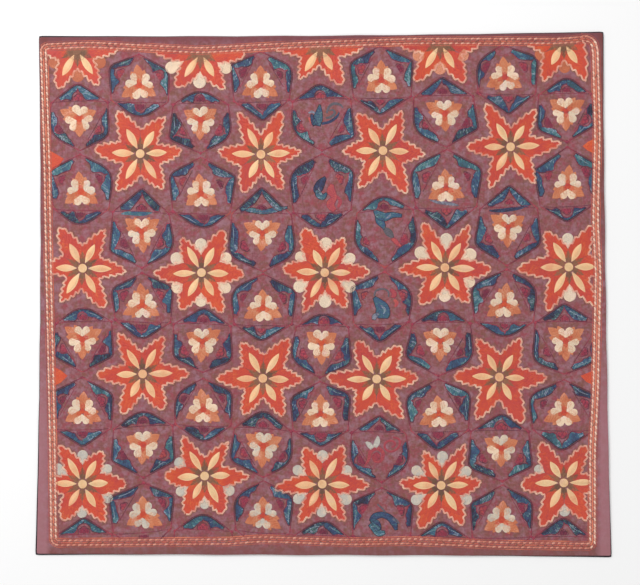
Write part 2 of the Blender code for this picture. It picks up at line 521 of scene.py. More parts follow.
class Star:
    """One star: its place and its six petals, each a little different, as a hand draws them."""

    def __init__(self, row, column, x, y, size):
        draw = random.Random(100 * row + column + 7)
        self.row, self.column, self.x, self.y = row, column, x, y
        self.whole = row < 5 and not (row % 2 and column in (-1, 4))
        self.block, self.block_notch = BLOCK_NOTCH.get((row, column), (None, 0.0))
        self.petals = [0, 3, 4, 5] if row == 0 else list(range(PETALS))
        if self.block:
            self.petals.remove((self.block + 1) % PETALS)
        self.cored = [4, 5] if row == 0 else list(range(PETALS))
        self.reach = [TIP_REACH * size * draw.uniform(0.89, 1.11) for _ in range(PETALS)]
        self.notch = [NOTCH_REACH * draw.uniform(0.86, 1.14) for _ in range(PETALS)]
        self.lean = [draw.uniform(-3.5, 3.5) for _ in range(PETALS)]
        self.bend = [draw.uniform(-5.0, 5.0) for _ in range(PETALS)]
        self.taper = [draw.choice((0.58, 0.68, 0.78, 0.9)) for _ in range(PETALS)]
        self.slip = [draw.uniform(0.0, 1.0) for _ in range(2 * PETALS)]
        self.core = [draw.uniform(0.9, 1.08) for _ in range(PETALS)]

    def petal_angle(self, k):
        return 360.0 / PETALS * k + self.lean[k % PETALS]

    def notch_angle(self, k):
        """Direction of the notch after petal k, counted anticlockwise."""
        if k == self.block:
            return self.block_notch
        return 360.0 / PETALS * (k + 0.5) + (self.lean[k] + self.lean[(k + 1) % PETALS]) / 2.0

    def side(self, k, sign):
        """The toothed side of petal k from its notch to its tip, about the star's middle."""
        after = k if sign > 0 else (k - 1) % PETALS
        notch = polar(self.notch[after], self.notch_angle(after))
        angle = self.petal_angle(k)
        near, half = placed([notch], 0.0, 0.0, -angle)[0]
        points = []
        for step in range(SIDE_STEPS + 1):
            share = step / SIDE_STEPS
            width = abs(half) * (1.0 - share) ** self.taper[k] * (1.0 + BELLY * share)
            phase = (TEETH * share + self.slip[2 * k + (sign > 0)]) % 1.0
            tooth = min(phase / TOOTH_RISE, (1.0 - phase) / (1.0 - TOOTH_RISE))
            fade = min(1.0, share * TEETH_GROW, (1.0 - share) * TEETH_SHRINK)
            width += TOOTH * (tooth - TOOTH_MIDDLE) * fade
            along = mix(near, self.reach[k], share) + TOOTH * TOOTH_LEAN * tooth * fade
            points.append((along, sign * max(width, 0.0) + self.bend[k] * share * share))
        return placed(points, self.x, self.y, angle)

    def petal(self, k):
        """The closed outline of petal k's red part."""
        inner = [polar(RED_FROM, self.petal_angle(k) + offset) for offset in RED_ARC]
        left, right = self.side(k, 1), self.side(k, -1)
        return placed(inner, self.x, self.y, 0.0) + left + right[::-1][1:]

    def spindle(self, k):
        """The outline inside petal k that the gold threads fill."""
        reach = SPINDLE_REACH * self.core[k]
        half = SPINDLE_HALF * self.core[(k + 2) % PETALS]
        leaf = leaf_outline(SPINDLE_FROM, reach, half, SPINDLE_WIDEST, 16, SPINDLE_FULLNESS)
        return placed(leaf, self.x, self.y, self.petal_angle(k))


stars = {(row[0], row[1]): Star(*row) for row in STARS}
whole_stars = [star for star in stars.values() if star.whole]


def spans(outline, level):
    """Where a line along X at a level runs inside an outline, as (start, end) pairs."""
    cuts = []
    for (ax, ay), (bx, by) in edges(outline):
        if (ay <= level) != (by <= level):
            cuts.append(mix(ax, bx, (level - ay) / (by - ay)))
    cuts.sort()
    return list(zip(cuts[::2], cuts[1::2]))


def without(runs, holes):
    """Runs along a line with the stretches taken out that lie in holes."""
    for low, high in holes:
        left = []
        for start, end in runs:
            if high <= start or low >= end:
                left.append((start, end))
                continue
            if low > start:
                left.append((start, low))
            if high < end:
                left.append((high, end))
        runs = left
    return runs


PAD_UNDER, PAD_PAINTED_SHADE = 0.08, 0.6  # the padding lies this much lower than the threads, and is darker, as painted shade in the gaps between them
PAD_ROOT = 0.2  # and it reaches this far into the cloth
THREAD_WIDE = 0.95  # as a share of the pitch of the rows
THREAD_HEIGHT = 0.8
END_SLOPE = 0.65  # share of a thread's length over which its ridge falls away
SHORTEST_THREAD = 0.8
OVERLAP = 1.06, 0.3  # a thread's length grows by this factor and these millimetres, to meet the next
BRICK_SLIDE = 0.25  # every second row is slid forward by this share of a thread, the others back
JOINT_DRIFT, TURN_DRIFT = 0.4, 2.0  # of the hand, in millimetres and degrees
NUDGE = 0.001  # keeps a row off the corners of an outline


class Bed:
    """Stitches and the padding below them that become one embroidered piece."""

    def __init__(self, seed):
        self.draw = random.Random(seed)
        self.stitches = []  # x, y, lift, turn, length, width, shade
        self.pads = []  # outline, lift, shade

    def stitch(self, x, y, lift, turn, length, width, shade):
        self.stitches.append((x, y, lift, turn, length, width, shade))

    def satin(self, outline, margin, turn, tone, length, lift, holes=(), pitch=1.25, mixed=0.11):
        """Pads what lies of an outline inside a margin, and lays rows of threads of a length over it
        at an angle, in brick order. Each thread's shade is mixed by a little from the tone."""
        outline = trimmed(outline, margin)
        if len(outline) < 3:
            return
        # The padding's darker tone is painted shade where it shows between the threads.
        self.pads.append((outline, lift - PAD_UNDER, tone(*outline[0]) * PAD_PAINTED_SHADE))
        flat = placed(outline, 0.0, 0.0, -turn)
        bare = [placed(hole, 0.0, 0.0, -turn) for hole in holes]
        low, high = min(y for _, y in flat), max(y for _, y in flat)
        rows = int((high - low) / pitch)
        first = low + ((high - low) - rows * pitch) / 2.0
        for row in range(rows + 1):
            level = first + row * pitch + NUDGE
            slide = BRICK_SLIDE if row % 2 else -BRICK_SLIDE
            taken = [run for hole in bare for run in spans(hole, level)]
            for run in without(spans(flat, level), taken):
                for start, end in self.cut(*run, length, slide):
                    x, y = placed([((start + end) / 2.0, level)], 0.0, 0.0, turn)[0]
                    shade = tone(x, y) + self.draw.uniform(-mixed, mixed)
                    angle = turn + self.draw.uniform(-TURN_DRIFT, TURN_DRIFT)
                    long = (end - start) * OVERLAP[0] + OVERLAP[1]
                    self.stitch(x, y, lift, angle, long, pitch * THREAD_WIDE, shade)

    def cut(self, start, end, length, slide):
        """Cuts a row into threads of about a length, with its joints slid by a share of one."""
        if end - start < SHORTEST_THREAD:
            return []
        pieces = max(1, round((end - start) / length))
        joints = [start + (end - start) * k / pieces for k in range(pieces + 1)]
        for k in range(1, pieces):
            joints[k] += slide * (end - start) / pieces + self.draw.uniform(-JOINT_DRIFT, JOINT_DRIFT)
        return list(zip(joints, joints[1:]))


def patchy(size, seed, low=0.0, high=1.0):
    """A tone that drifts over the cloth in patches of a size in millimetres."""
    def tone(x, y):
        value = noise.noise(Vector((x / size, y / size, seed * 3.7)))
        return low + (high - low) * min(max(0.5 + 0.9 * value, 0.0), 1.0)
    return tone


def stitch_tree():
    """Geometry Nodes that lay one thread at each loose point and keep the padding. A thread has a
    flat underside and a ridge, which slopes down at both ends to where it enters the cloth."""
    made = bpy.data.node_groups.new("laid_threads", "GeometryNodeTree")
    face = made.interface
    face.new_socket("Geometry", in_out="INPUT", socket_type="NodeSocketGeometry")
    height = face.new_socket("Thread height", in_out="INPUT", socket_type="NodeSocketFloat")
    slope = face.new_socket("End slope", in_out="INPUT", socket_type="NodeSocketFloat")
    finish = face.new_socket("Finish", in_out="INPUT", socket_type="NodeSocketMaterial")
    face.new_socket("Geometry", in_out="OUTPUT", socket_type="NodeSocketGeometry")
    height.default_value = THREAD_HEIGHT * MM
    slope.default_value = END_SLOPE
    start = made.nodes.new("NodeGroupInput")
    end = made.nodes.new("NodeGroupOutput")

    def reading(name):
        return node(made, "GeometryNodeInputNamedAttribute", {"data_type": "FLOAT"}, Name=name).outputs[0]

    length = reading("length")
    is_thread = node(
        made, "FunctionNodeCompare", {"data_type": "FLOAT", "operation": "GREATER_THAN"}, A=length, B=0.0
    ).outputs[0]
    grain = node(made, "GeometryNodeMeshCube", Size=(2.0, 2.0, 2.0)).outputs[0]
    at = node(made, "ShaderNodeSeparateXYZ", Vector=node(made, "GeometryNodeInputPosition").outputs[0])
    on_top = sum_of(made, "GREATER_THAN", at.outputs["Z"], 0.0)
    drawn_in = sum_of(made, "MULTIPLY", on_top, start.outputs["End slope"])
    along = sum_of(made, "MULTIPLY", at.outputs["X"], sum_of(made, "SUBTRACT", 1.0, drawn_in))
    aside = sum_of(made, "MULTIPLY", at.outputs["Y"], sum_of(made, "SUBTRACT", 1.0, on_top))
    ridged = node(made, "ShaderNodeCombineXYZ", X=along, Y=aside, Z=at.outputs["Z"]).outputs[0]
    grain = node(made, "GeometryNodeSetPosition", Geometry=grain, Position=ridged).outputs[0]
    grain = node(made, "GeometryNodeMergeByDistance", Geometry=grain, Distance=0.01).outputs[0]
    grain = node(made, "GeometryNodeSetShadeSmooth", Geometry=grain).outputs[0]
    scale = node(
        made, "ShaderNodeCombineXYZ",
        X=sum_of(made, "MULTIPLY", length), Y=sum_of(made, "MULTIPLY", reading("width")),
        Z=sum_of(made, "MULTIPLY", start.outputs["Thread height"]),
    ).outputs[0]
    turn = node(made, "ShaderNodeCombineXYZ", Z=reading("turn")).outputs[0]
    threads = node(
        made, "GeometryNodeInstanceOnPoints",
        Points=start.outputs["Geometry"], Selection=is_thread, Instance=grain, Rotation=turn, Scale=scale,
    ).outputs[0]
    threads = node(made, "GeometryNodeRealizeInstances", Geometry=threads).outputs[0]
    padding = node(
        made, "GeometryNodeDeleteGeometry", {"domain": "POINT"},
        Geometry=start.outputs["Geometry"], Selection=is_thread,
    ).outputs[0]
    joined = made.nodes.new("GeometryNodeJoinGeometry")
    made.links.new(threads, joined.inputs[0])
    made.links.new(padding, joined.inputs[0])
    done = node(
        made, "GeometryNodeSetMaterial", Geometry=joined.outputs[0], Material=start.outputs["Finish"]
    ).outputs[0]
    made.links.new(done, end.inputs[0])
    return made, {"height": height.identifier, "slope": slope.identifier, "finish": finish.identifier}


laid_threads, thread_inputs = stitch_tree()


def sew(name, bed, material, thread_height=THREAD_HEIGHT):
    """Makes a bed's stitches and padding one plain mesh that rides on the cloth."""
    verts, faces = [], []
    values = {"length": [], "width": [], "turn": [], "shade": []}

    def vert(x, y, lift, length=0.0, width=0.0, turn=0.0, shade=0.5):
        verts.append((x * MM, y * MM, (face_height(x, y) + lift) * MM))
        for key, value in (("length", length), ("width", width), ("turn", turn), ("shade", shade)):
            values[key].append(value)
        return len(verts) - 1

    for outline, lift, shade in bed.pads:
        area = sum(ax * by - bx * ay for (ax, ay), (bx, by) in edges(outline))
        loop = outline if area > 0 else outline[::-1]
        top = [vert(x, y, lift, shade=shade) for x, y in loop]
        base = [vert(x, y, -PAD_ROOT, shade=shade) for x, y in loop]
        count = len(loop)
        faces.append(top)
        faces.append(base[::-1])
        for k in range(count):
            faces.append([base[k], base[(k + 1) % count], top[(k + 1) % count], top[k]])
    for x, y, lift, turn, length, width, shade in bed.stitches:
        vert(x, y, lift, length * MM, width * MM, math.radians(turn), min(max(shade, 0.0), 1.0))
    source = bpy.data.meshes.new(name)
    source.from_pydata(verts, [], faces)
    for key, numbers in values.items():
        source.attributes.new(key, "FLOAT", "POINT").data.foreach_set("value", numbers)
    piece = bpy.data.objects.new(name, source)
    scene.collection.objects.link(piece)
    modifier = piece.modifiers.new("laid_threads", "NODES")
    modifier.node_group = laid_threads
    modifier[thread_inputs["height"]] = thread_height * MM
    modifier[thread_inputs["slope"]] = END_SLOPE
    modifier[thread_inputs["finish"]] = material
    bpy.context.view_layer.update()
    evaluated = piece.evaluated_get(bpy.context.evaluated_depsgraph_get())
    mesh = bpy.data.meshes.new_from_object(evaluated)
    piece.modifiers.remove(modifier)
    piece.data = mesh
    bpy.data.meshes.remove(source)
    for key in ("length", "width", "turn"):
        mesh.attributes.remove(mesh.attributes[key])
    mesh.name = name
    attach(piece, "root")
    return piece


FIBRE = 1.0 / 1.4  # size of the flecks in the silk's gloss


def silk(name, stops):
    """Floss silk, dyed by hand: a soft gloss along the thread, and a tone for each stitch."""
    made, tree, shader = surface(name, 0.52, sheen=0.12)
    shade = node(tree, "ShaderNodeAttribute", {"attribute_name": "shade"}).outputs["Fac"]
    ramp = tree.nodes.new("ShaderNodeValToRGB")
    tree.links.new(shade, ramp.inputs[0])
    marks = ramp.color_ramp.elements
    while len(marks) < len(stops):
        marks.new(0.5)
    for mark, (position, hex_colour) in zip(marks, stops):
        mark.position = position
        mark.color = linear(hex_colour)
    place = node(tree, "ShaderNodeTexCoord").outputs["Object"]
    fibre = clouds(tree, place, FIBRE, detail=1.0)
    # Painted gloss: the fibre noise brightens and darkens the silk's colour in small flecks, as if the
    # thread caught the light; the same noise also makes the bump.
    painted_gloss_flecks = node(
        tree, "ShaderNodeMapRange", Value=fibre, From_Min=0.3, From_Max=0.7, To_Min=0.86, To_Max=1.08
    ).outputs[0]
    colour = node(
        tree, "ShaderNodeVectorMath", {"operation": "SCALE"}, _0=ramp.outputs[0], Scale=painted_gloss_flecks
    ).outputs[0]
    coat(tree, shader, colour, fibre, strength=0.25, depth=0.2)
    return made


vermilion = silk(
    "vermilion_silk",
    [(0.0, "#b33e43"), (0.3, "#cb4637"), (0.65, "#da552b"), (1.0, "#e37a3b")],
)


def red_tone(x, y):
    """Reds drift over a petal, and change again from stitch to stitch."""
    return 0.55 * patchy(15.0, 1)(x, y) + 0.45 * patchy(3.4, 17)(x, y)


red_bed = Bed(11)
for star in whole_stars:
    for k in star.petals:
        holes = [star.spindle(k)] if k in star.cored else []
        slant = star.petal_angle(k) + RED_SLANT
        red_bed.satin(star.petal(k), STAR_MARGIN, slant, red_tone, RED_THREAD, RED_LIFT, holes)
sew("vermilion_petals", red_bed, vermilion)

# Four more petals, whose stars would lie beyond the side borders, show as plain red triangles.
TIP_TRIANGLES = [
    # x of its base, y of its base's middle, half of its base, x and y of its point
    (-438.0, 213.0, 17.5, -415.0, 217.0),
    (-435.0, -131.0, 17.5, -409.0, -130.0),
    (434.0, 237.0, 12.5, 414.0, 237.0),
    (434.0, -133.0, 12.5, 411.0, -130.0),
]

BULGE_AT, BULGE_HALF = 0.6, 0.55  # their sides swell: share of the length, and of half the base

tip_bed = Bed(12)
for base_x, base_y, half, tip_x, tip_y in TIP_TRIANGLES:
    bulge_x, bulge = mix(base_x, tip_x, BULGE_AT), half * BULGE_HALF
    outline = [
        (base_x, base_y - half), (bulge_x, base_y - bulge), (tip_x, tip_y),
        (bulge_x, base_y + bulge), (base_x, base_y + half),
    ]
    tip_bed.satin(outline, STAR_MARGIN, RED_SLANT, patchy(12.0, 1, low=0.45), RED_THREAD, RED_LIFT)
sew("red_side_tips", tip_bed, vermilion)

# ---------------------------------------------------------------- brown star middles
# Between the gold cores each star's middle is worked in olive-brown silk, as six short wedges and
# a ring round the disc. The half stars under the head border have a plain brown middle.

WEDGE_FROM, WEDGE_REACH, WEDGE_HALF, WEDGE_WIDEST = 7.5, 27.0, 5.0, 0.4
RING_REACH, HALF_STAR_MIDDLE = 8.0, 19.0
LINE_MARGIN = 6.0  # no line of stitching comes closer to the border's middle line
SHADE_DRIFT = 0.12


def disc(x, y, reach, corners):
    """A round outline about a place."""
    return placed([polar(reach, 360.0 / corners * k) for k in range(corners)], x, y, 0.0)


def walked(path, pitch):
    """Points at an even pitch along an open path, each with its direction in degrees."""
    done, out, wanted = 0.0, [], pitch / 2.0
    for (ax, ay), (bx, by) in zip(path, path[1:]):
        length = math.hypot(bx - ax, by - ay)
        while length and wanted <= done + length:
            share = (wanted - done) / length
            way = math.degrees(math.atan2(by - ay, bx - ax))
            out.append((mix(ax, bx, share), mix(ay, by, share), way))
            wanted += pitch
        done += length
    return out


def stem(bed, path, tone, lift, pitch=3.2, wide=1.2, slant=12.0, margin=LINE_MARGIN):
    """Stem stitch along a path: single slanting threads that overlap like a rope."""
    for x, y, way in walked(path, pitch):
        if inside(x, y, margin):
            shade = tone(x, y) + bed.draw.uniform(-SHADE_DRIFT, SHADE_DRIFT)
            bed.stitch(x, y, lift, way + slant, pitch * 1.5, wide, shade)


olive_silk = silk("olive_brown_silk", [(0.0, "#6c4a38"), (0.5, "#8e5f44"), (1.0, "#a66c50")])

olive_tone = patchy(15.0, 2)
brown_bed = Bed(21)
for star in whole_stars:
    for k in range(PETALS):
        way = (star.petal_angle(k) + star.petal_angle(k + 1)) / 2.0
        wedge = leaf_outline(WEDGE_FROM, WEDGE_REACH, WEDGE_HALF, WEDGE_WIDEST)
        wedge = placed(wedge, star.x, star.y, way)
        brown_bed.satin(wedge, STAR_MARGIN, way, olive_tone, length=7.0, lift=0.18)
    ring = disc(star.x, star.y, RING_REACH, 15)
    stem(brown_bed, ring + ring[:1], olive_tone, lift=0.2, pitch=2.6, wide=1.6, slant=6.0)
    if star.row == 0:
        middle = disc(star.x, star.y, HALF_STAR_MIDDLE, 15)
        brown_bed.satin(middle, STAR_MARGIN, 15.0, patchy(15.0, 2, low=0.4), length=8.0, lift=0.17)
sew("brown_star_middles", brown_bed, olive_silk)

# ---------------------------------------------------------------- gold cores and discs
# Each petal holds a pointed spindle of straw-gold silk in satin stitch, laid slantwise across it,
# around a small round disc in the middle of the star.

DISC_REACH = 6.9
GOLD_SLANT = 78.0  # the threads lie almost across a core
FINE_PITCH = 1.1

gold_silk = silk(
    "straw_gold_silk",
    [(0.0, "#eda77e"), (0.3, "#f4c292"), (0.75, "#f6d5a5"), (1.0, "#f6ccaf")],
)

gold_tone = patchy(16.0, 3)
gold_bed = Bed(31)
for star in whole_stars:
    for k in star.cored:
        slant = star.petal_angle(k) + GOLD_SLANT
        gold_bed.satin(
            star.spindle(k), STAR_MARGIN, slant, gold_tone, length=14.0, lift=0.3, pitch=FINE_PITCH
        )
    if star.row > 0:
        middle, slant = disc(star.x, star.y, DISC_REACH, 15), 20.0 + 8.0 * star.column
        gold_bed.satin(middle, STAR_MARGIN, slant, gold_tone, length=16.0, lift=0.38, pitch=FINE_PITCH)
sew("gold_cores", gold_bed, gold_silk, thread_height=0.9)

# ---------------------------------------------------------------- scallops
# On some stars a round tab of cream silk, or of salmon or orange, peeps out of each notch.

# The notches that have one are counted anticlockwise from the upper right: 0 upper right, 1 head,
# 2 upper left, 3 lower left, 4 foot, 5 lower right. Reach is to the middle of a tab's round end.
SCALLOPS = [
    # row, column, silk, reach, notches
    (0, 0, "rust", 41, (3, 4, 5)),
    (0, 1, "cream", 47, (4, 5)),
    (0, 1, "cream", 53, (3,)),
    (0, 3, "salmon", 40, (3, 4, 5)),
    (0, 4, "rust", 41, (3, 4)),
    (2, 1, "cream", 45, (0, 1, 2, 3, 4, 5)),
    (2, 2, "cream", 46, (0, 1, 2, 3, 4, 5)),
    (2, 3, "cream", 45, (0, 1, 2, 4, 5)),
    (2, 4, "cream", 45, (1, 4)),
    (4, 0, "grey", 46, (0, 1, 2, 4, 5)),
    (4, 1, "grey", 45, (2, 3, 4, 5)),
    (4, 2, "grey", 45, (0, 1, 2, 3, 4, 5)),
    (4, 3, "grey", 46, (0, 1, 2, 3, 5)),
    (4, 4, "grey", 45, (2, 4)),
]
TAB_UNDER = 3.0  # a tab starts this far under the star
TAB_SLANT = 84.0


def tab_outline(star, k, reach, half):
    """A tab that is pointed at the notch and round at its far end."""
    near, half = star.notch[k] - TAB_UNDER, half * star.core[k]
    round_end = [(reach + px, py) for px, py in (polar(half, a) for a in range(-110, 111, 20))]
    return placed([(near, 0.0)] + round_end, star.x, star.y, star.notch_angle(k))


cream_silk = silk(
    "cream_silk",
    [(0.0, "#bbb6b0"), (0.3, "#d0c6b8"), (0.5, "#ecd0b4"), (0.8, "#f7dcbc"), (1.0, "#f9d8cc")],
)
orange_silk = silk(
    "orange_silk",
    [(0.0, "#b25f3f"), (0.3, "#c66c48"), (0.6, "#d38058"), (0.85, "#d9946e"), (1.0, "#e5a28c")],
)

SCALLOP_SILKS = {
    # silk: the piece it belongs to, its lowest and highest tone there, half its width
    "cream": ("cream_scallops", 0.45, 0.9, 9.8),
    "grey": ("cream_scallops", 0.12, 0.5, 8.6),
    "salmon": ("orange_scallops", 0.9, 1.0, 10.0),
    "rust": ("orange_scallops", 0.15, 0.5, 10.0),
}
tab_beds = {"cream_scallops": Bed(35), "orange_scallops": Bed(36)}
for row, column, kind, reach, notches in SCALLOPS:
    star = stars[(row, column)]
    bed_name, low, high, half = SCALLOP_SILKS[kind]
    for k in notches:
        outline, slant = tab_outline(star, k, reach, half), star.notch_angle(k) + TAB_SLANT
        tone = patchy(9.0, 8, low, high)
        tab_beds[bed_name].satin(outline, LINE_MARGIN, slant, tone, length=7.0, lift=0.24)
sew("cream_scallops", tab_beds["cream_scallops"], cream_silk)
sew("orange_scallops", tab_beds["orange_scallops"], orange_silk)

# ---------------------------------------------------------------- pink star outlines
# A line of pale pink chain stitch edges every tooth of the petals, with a thin brown line of stem
# stitch outside it, which is partly painted shade beside the raised pink line.

LINK_APART, LINK_OPEN = 0.26, 16.0  # of a link's two threads: share of its width, degrees
BROWN_OFF = 2.2  # from the middle of the pink line to the middle of the brown one
BROWN_FROM = 4  # the brown line leaves out the first steps of a petal's side


def chain(bed, path, tone, lift, pitch, wide):
    """Chain stitch along a path: each link is two threads that open like a V."""
    for x, y, way in walked(path, pitch):
        if not inside(x, y, LINE_MARGIN):
            continue
        shade = tone(x, y) + bed.draw.uniform(-SHADE_DRIFT, SHADE_DRIFT)
        for sign in (1, -1):
            px, py = placed([(0.0, sign * wide * LINK_APART)], x, y, way)[0]
            bed.stitch(px, py, lift, way + sign * LINK_OPEN, pitch * 1.4, wide * 0.52, shade)


def outset(path, distances):
    """A path moved to its left by a distance for each of its points."""
    moved = []
    for k, (x, y) in enumerate(path):
        ax, ay = path[max(k - 1, 0)]
        bx, by = path[min(k + 1, len(path) - 1)]
        length = math.hypot(bx - ax, by - ay) or 1.0
        moved.append((x - (by - ay) / length * distances[k], y + (bx - ax) / length * distances[k]))
    return moved


pink_silk = silk("pale_pink_silk", [(0.0, "#e49a86"), (0.5, "#f6baa4"), (1.0, "#fbd6bc")])

pink_bed = Bed(41)
brown_shade_bed = Bed(42)
for star in whole_stars:
    for k in star.petals:
        for sign in (1, -1):
            path = star.side(k, sign)
            chain(pink_bed, path, patchy(12.0, 4), lift=0.34, pitch=2.3, wide=2.8)
            # The brown stem line outside the pink chain is partly painted shade beside the raised pink
            # line.
            edge = outset(path[BROWN_FROM:], [sign * BROWN_OFF] * len(path))
            stem(brown_shade_bed, edge, patchy(15.0, 2, low=0.5), lift=0.1, wide=1.1)
sew("pink_outlines", pink_bed, pink_silk, thread_height=0.9)
sew("brown_outlines_and_painted_shade", brown_shade_bed, olive_silk)

# ---------------------------------------------------------------- claret frames and buds
# Where three stars meet, a six-sided frame of claret chain stitch stands between them. Three of
# its corners are where two stars' petals face each other; the other three are peaks between
# those, one towards each star. A thin line closes off each peak, with a round bud on it.

PEAK = 0.35  # height of a peak over the side below it, as a share of that side
PEAK_ROUNDS = (7.0, 13.0, 19.0, 26.0)  # a peak's corner is rounded over this length on each side
CORNER_IN = (1.0, 6.0)  # a frame's corner is this far in from the middle between two stars
BUD_UP = (7.4, 10.4)  # from the side to the middle of its bud
BUD_FOLLOWS = 0.7  # share of a peak's shift along its side that its bud follows
TALL_PEAKS = [(-299, 130, 1.3), (-95, 135, 1.35), (296, 136, 1.22), (193, 147, 1.12)]  # base, height
BUD_SIDES = ((0.0, 1.0), (-1.0, 0.65), (1.0, 0.65))  # a bud's three balls: place along, size
BUD_HALF = (3.6, 5.2)
HOOD_OFF = 1.2  # the claret line round a ball lies this far outside it
CHORD_INSET, CHORD_RISE = 4.0, (0.8, 2.2, 2.4, 2.2, 0.8)  # the line that closes off a peak
SLANTING = 0.5  # a side that rises by more than this has no such line, or only its middle part
CHORD_SHARE = 0.5  # of the slanting sides that have it
KNOT_SHARE = 0.75  # of the corners that have a knot
KNOT_HALF_X, KNOT_HALF_Y = (2.0, 4.8), (1.6, 3.6)
SEES_PEAK = 25.0  # a tall peak's place in the table may be this far from its base
ENDS_REACH = 24.0  # a frame lightens over this length towards its corners
FRAME_MARGIN = 7.0  # what lies in the frames is cut off this far inside the border's middle line


def midpoint(a, b):
    return (a[0] + b[0]) / 2.0, (a[1] + b[1]) / 2.0


def towards(a, b, distance):
    """The point at a distance from a in the direction of b."""
    share = distance / math.dist(a, b)
    return mix(a[0], b[0], share), mix(a[1], b[1], share)


def heading(a, b):
    return math.degrees(math.atan2(b[1] - a[1], b[0] - a[0]))


def bent(a, corner, b, reach, steps=6):
    """A rounded corner, which starts at a reach before the corner and ends as far after it."""
    start, end = towards(corner, a, reach), towards(corner, b, reach)
    curve = []
    for step in range(steps + 1):
        share = step / steps
        first = (mix(start[0], corner[0], share), mix(start[1], corner[1], share))
        second = (mix(corner[0], end[0], share), mix(corner[1], end[1], share))
        curve.append((mix(first[0], second[0], share), mix(first[1], second[1], share)))
    return curve


class Peak:
    """One of a frame's three peaks, over the side between two of its corners. Its own places are
    (along, out): along that side from its middle, and out from it towards the star."""

    def __init__(self, a, b, draw):
        self.base, self.way = midpoint(a, b), heading(a, b)
        self.half = math.dist(a, b) / 2.0
        self.ends = (-self.half, 0.0), (self.half, 0.0)
        rise, reach = PEAK * draw.uniform(0.9, 1.12), draw.choice(PEAK_ROUNDS)
        for x, y, taller in TALL_PEAKS:
            if math.dist((x, y), self.base) < SEES_PEAK:
                rise, reach = PEAK * taller, PEAK_ROUNDS[0]
        top = 2.0 * self.half * draw.uniform(-0.05, 0.05), 2.0 * self.half * rise
        self.crown = bent(self.ends[0], top, self.ends[1], reach)
        self.arch = [self.ends[0]] + self.crown + [self.ends[1]]
        self.bud = top[0] * BUD_FOLLOWS, draw.uniform(*BUD_UP)
        self.bud_half = draw.uniform(*BUD_HALF)

    def laid(self, points):
        """Places of the peak as places on the cloth."""
        return placed([(along, -out) for along, out in points], *self.base, self.way)

    def near_end(self, x, y):
        """How near a place on the cloth is to one of the two corners, from 0 to 1."""
        gap = min(math.dist((x, y), end) for end in self.laid(self.ends))
        return 1.0 - ease(gap / ENDS_REACH)


class Frame:
    """The frame between three stars, listed anticlockwise."""

    def __init__(self, kind, row, column, trio):
        self.key = (kind, row, column)
        self.draw = random.Random(1000 + 50 * row + column + (7 if kind == "up" else 0))
        places = [(star.x, star.y) for star in trio]
        meets = [midpoint(places[k], places[(k + 1) % 3]) for k in range(3)]
        self.middle = (sum(x for x, _ in meets) / 3.0, sum(y for _, y in meets) / 3.0)
        self.corners = [towards(meet, self.middle, self.draw.uniform(*CORNER_IN)) for meet in meets]
        self.peaks = [Peak(self.corners[k], self.corners[(k + 1) % 3], self.draw) for k in range(3)]


frames = []
for row in range(5):
    shift = row % 2
    for column in range(-1, 6):
        below = [stars.get((row + 1, column - 1 + shift)), stars.get((row + 1, column + shift))]
        star, beside = stars.get((row, column)), stars.get((row, column + 1))
        if star and all(below):
            frames.append(Frame("down", row, column, [star] + below))
        if star and beside and below[1]:
            frames.append(Frame("up", row, column, [beside, star, below[1]]))

claret_silk = silk(
    "claret_silk",
    [(0.0, "#451e34"), (0.35, "#7a2642"), (0.7, "#aa3850"), (0.85, "#ba4656"), (1.0, "#be5648")],
)


def frame_tone(peak):
    """Claret that is lighter towards the corners of a frame."""
    drift = patchy(18.0, 6, -0.15, 0.2)

    def tone(x, y):
        return mix(0.15, 0.75, peak.near_end(x, y)) + drift(x, y)
    return tone


claret_bed = Bed(53)
bud_bed = Bed(54)
for edged in frames:
    for peak in edged.peaks:
        chain(claret_bed, peak.laid(peak.arch), frame_tone(peak), lift=0.2, pitch=2.9, wide=1.9)
        far = peak.half
        stops = (CHORD_INSET - far, -0.5 * far, 0.0, 0.5 * far, far - CHORD_INSET)
        chord = list(zip(stops, CHORD_RISE))
        if abs(math.sin(math.radians(peak.way))) > SLANTING:
            chord = chord[1:-1] if edged.draw.random() < CHORD_SHARE else []
        stem(claret_bed, peak.laid(chord), patchy(25.0, 9, 0.1, 0.6), lift=0.12, wide=1.5)
        shade = edged.draw.choice((0.6, 0.85, 1.0))
        tone = patchy(14.0, 12, shade - 0.25, shade)
        for side, size in BUD_SIDES:
            half = size * peak.bud_half
            along, out = peak.bud[0] + side * peak.bud_half, peak.bud[1] + half - peak.bud_half
            x, y = peak.laid([(along, out)])[0]
            bud_bed.satin(disc(x, y, half, 12), FRAME_MARGIN, peak.way, tone, length=6.0, lift=0.2)
            hood = [polar(half + HOOD_OFF, a) for a in range(-130, 131, 26)]
            stem(bud_bed, placed(hood, x, y, peak.way - 90.0), patchy(20.0, 14, 0.1, 0.5), lift=0.3,
                 pitch=2.6, slant=5.0, margin=FRAME_MARGIN)
    for x, y in edged.corners:
        if edged.draw.random() < KNOT_SHARE:
            half_x, half_y = edged.draw.uniform(*KNOT_HALF_X), edged.draw.uniform(*KNOT_HALF_Y)
            knot = [(x + half_x, y), (x, y + half_y), (x - half_x, y), (x, y - half_y)]
            tone = patchy(30.0, 13, 0.5, 0.85)
            bud_bed.satin(knot, FRAME_MARGIN, 90.0, tone, length=6.0, lift=0.22)
sew("claret_frames", claret_bed, claret_silk)
sew("claret_buds", bud_bed, claret_silk)

# ---------------------------------------------------------------- blue leaves
# Two leaves fill each peak of a frame and meet over its bud like a pair of wings. Each is pointed
# near the frame's corner. Their silk changes from navy through blue and teal to pale aqua within
# a few stitches. A navy line edges them outside, a claret one inside.

